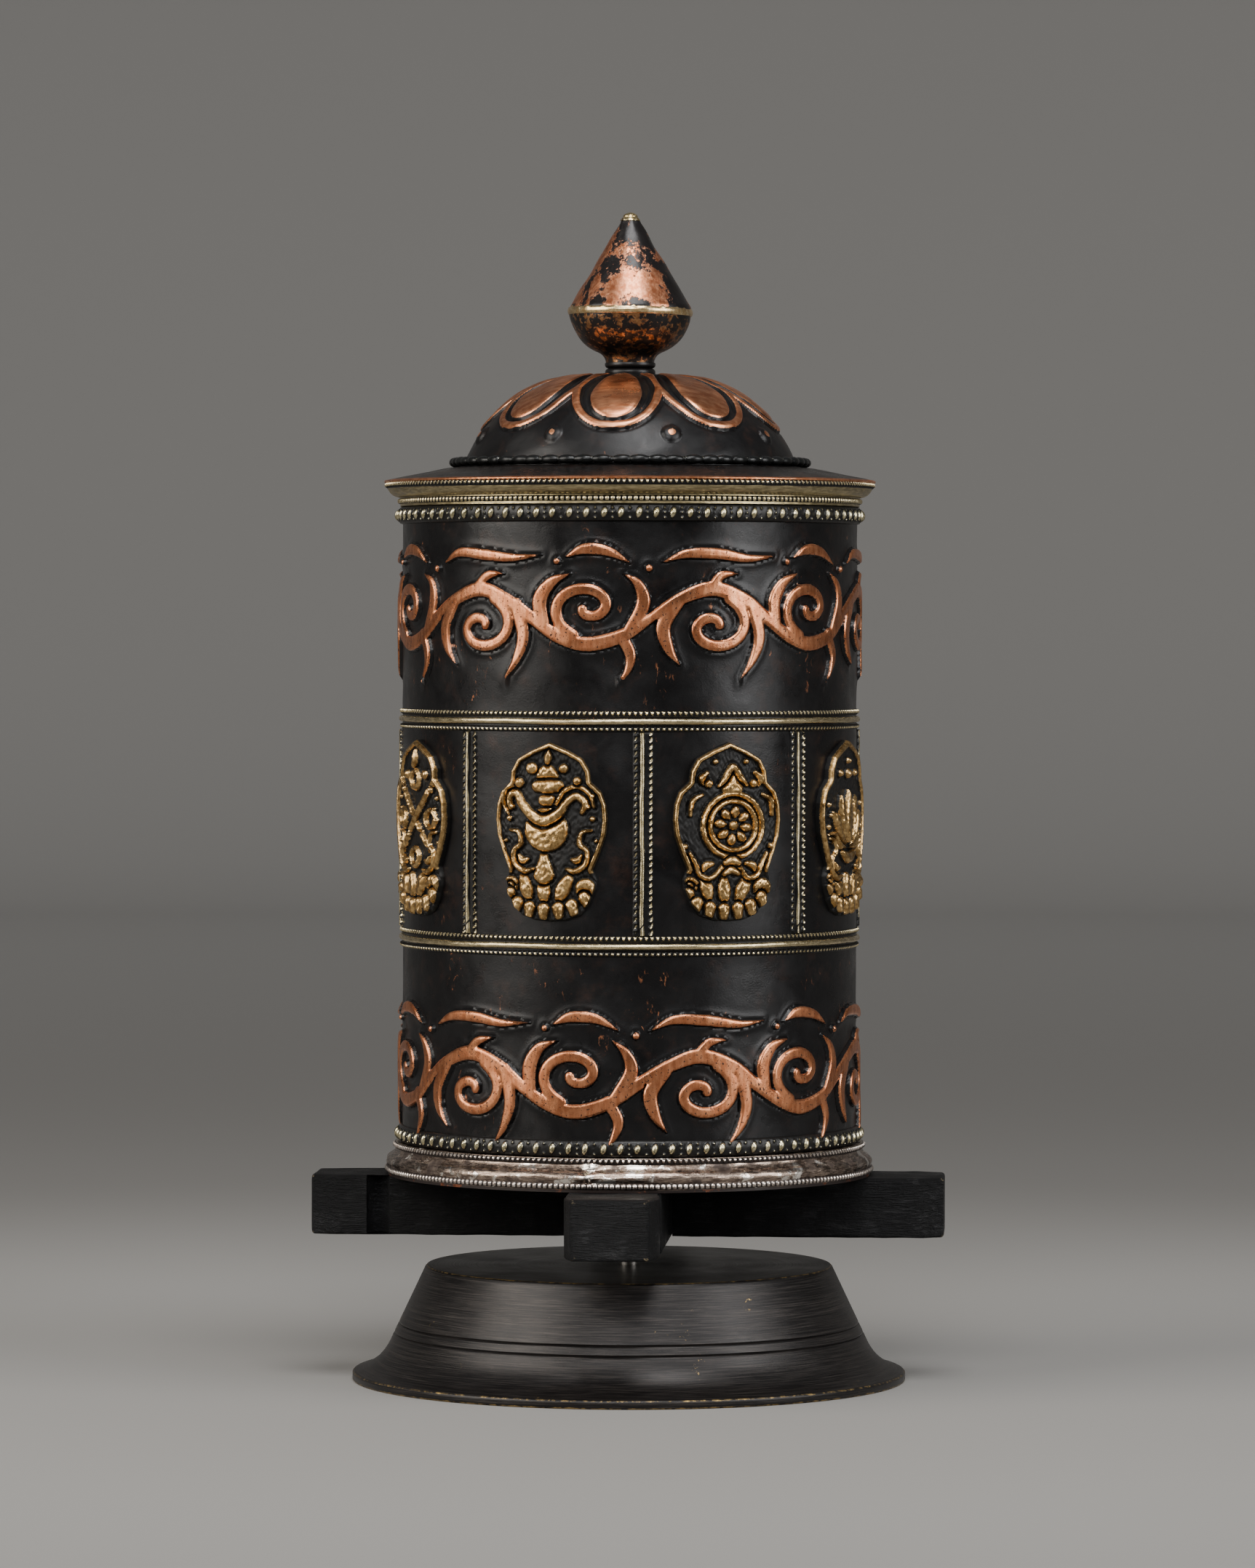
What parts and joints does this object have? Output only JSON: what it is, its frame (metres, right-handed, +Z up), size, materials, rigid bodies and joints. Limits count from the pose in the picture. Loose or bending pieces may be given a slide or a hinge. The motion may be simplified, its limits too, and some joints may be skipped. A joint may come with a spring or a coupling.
{
  "type": "prayer wheel",
  "caption": "Table prayer wheel: embossed copper drum with beaded brass bands and cast plaques turns on a spindle over a wooden cross and a black bell base, under a domed lid with finial.",
  "frame": {"origin": "centre of the base's underside, on the spindle's axis", "axes": "+Z up along the spindle; -Y is the front, where a cross arm points a few degrees to the left"},
  "size_m": [0.1904, 0.1904, 0.35],
  "materials": {
    "oxidised_brass": "turned brass, blackened, satin, with fine lathe lines",
    "black_wood": "hardwood painted satin black",
    "steel": "plain turned steel, lightly oiled",
    "patina_copper": "embossed copper sheet, near-black patina rubbed back to copper on the high places",
    "copper": "raised copper sheet, rubbed bright, dark in the hollows",
    "silvered_copper": "tinned copper moulding, tarnished",
    "pale_brass": "pale brass trim, worn bright on the beads and dark between them",
    "cast_brass": "cast brass relief, blackened ground",
    "bush_brass": "plain turned brass",
    "wound_paper": "tightly wound paper roll"
  },
  "bodies": {
    "stand": {"base": "oxidised_brass", "spindle": "steel", "base_washer": "steel", "base_nut": "steel"},
    "drum": {"cross_screws": "steel", "cross_bar_fore_aft": "black_wood", "cross_bar_side": "black_wood", "lower_bush": "bush_brass", "pivot_cup": "bush_brass", "core_tube": "bush_brass", "paper_roll": "wound_paper", "bottom_plate": "patina_copper", "shell_lower": "patina_copper", "shell_middle": "patina_copper", "shell_upper": "patina_copper", "top_plate": "patina_copper", "foot_moulding": "silvered_copper", "wire_moulding_lower": "silvered_copper", "wire_moulding_upper": "silvered_copper", "cornice": "pale_brass", "wire_cornice_lower": "pale_brass", "wire_cornice_upper": "pale_brass", "bead_band_lower": "pale_brass", "bead_band_upper": "pale_brass", "band_rib_lower": "pale_brass", "band_rib_upper": "pale_brass", "wire_band_lower_under": "pale_brass", "wire_band_lower_over": "pale_brass", "wire_band_upper_under": "pale_brass", "wire_band_upper_over": "pale_brass", "panel_strip_1": "pale_brass", "panel_strip_2": "pale_brass", "panel_strip_3": "pale_brass", "panel_strip_4": "pale_brass", "panel_strip_5": "pale_brass", "panel_strip_6": "pale_brass", "panel_strip_7": "pale_brass", "panel_strip_8": "pale_brass", "plaque_knot": "cast_brass", "plaque_vase": "cast_brass", "plaque_wheel": "cast_brass", "plaque_lotus": "cast_brass", "plaque_shell": "cast_brass", "plaque_banner": "cast_brass", "plaque_parasol": "cast_brass", "plaque_fish": "cast_brass"},
    "lid": {"finial_stud": "steel", "finial_washer": "steel", "finial_nut": "steel", "lid_spigot": "patina_copper", "lid_bead_ring": "pale_brass", "lid_dome": "copper", "finial_neck": "copper", "finial_bowl": "copper", "finial_cone": "copper", "finial_seam_ring": "pale_brass", "finial_tip": "pale_brass"}
  },
  "joints": [
    {"name": "drum_spin", "type": "hinge", "parent": "stand", "child": "drum", "pos_m": [0, 0, 0.0618], "axis": [0, 0, 1], "continuous": true},
    {"name": "lid_lift", "type": "slide", "parent": "drum", "child": "lid", "axis": [0, 0, 1], "range_m": [0, 0.08]}
  ]
}
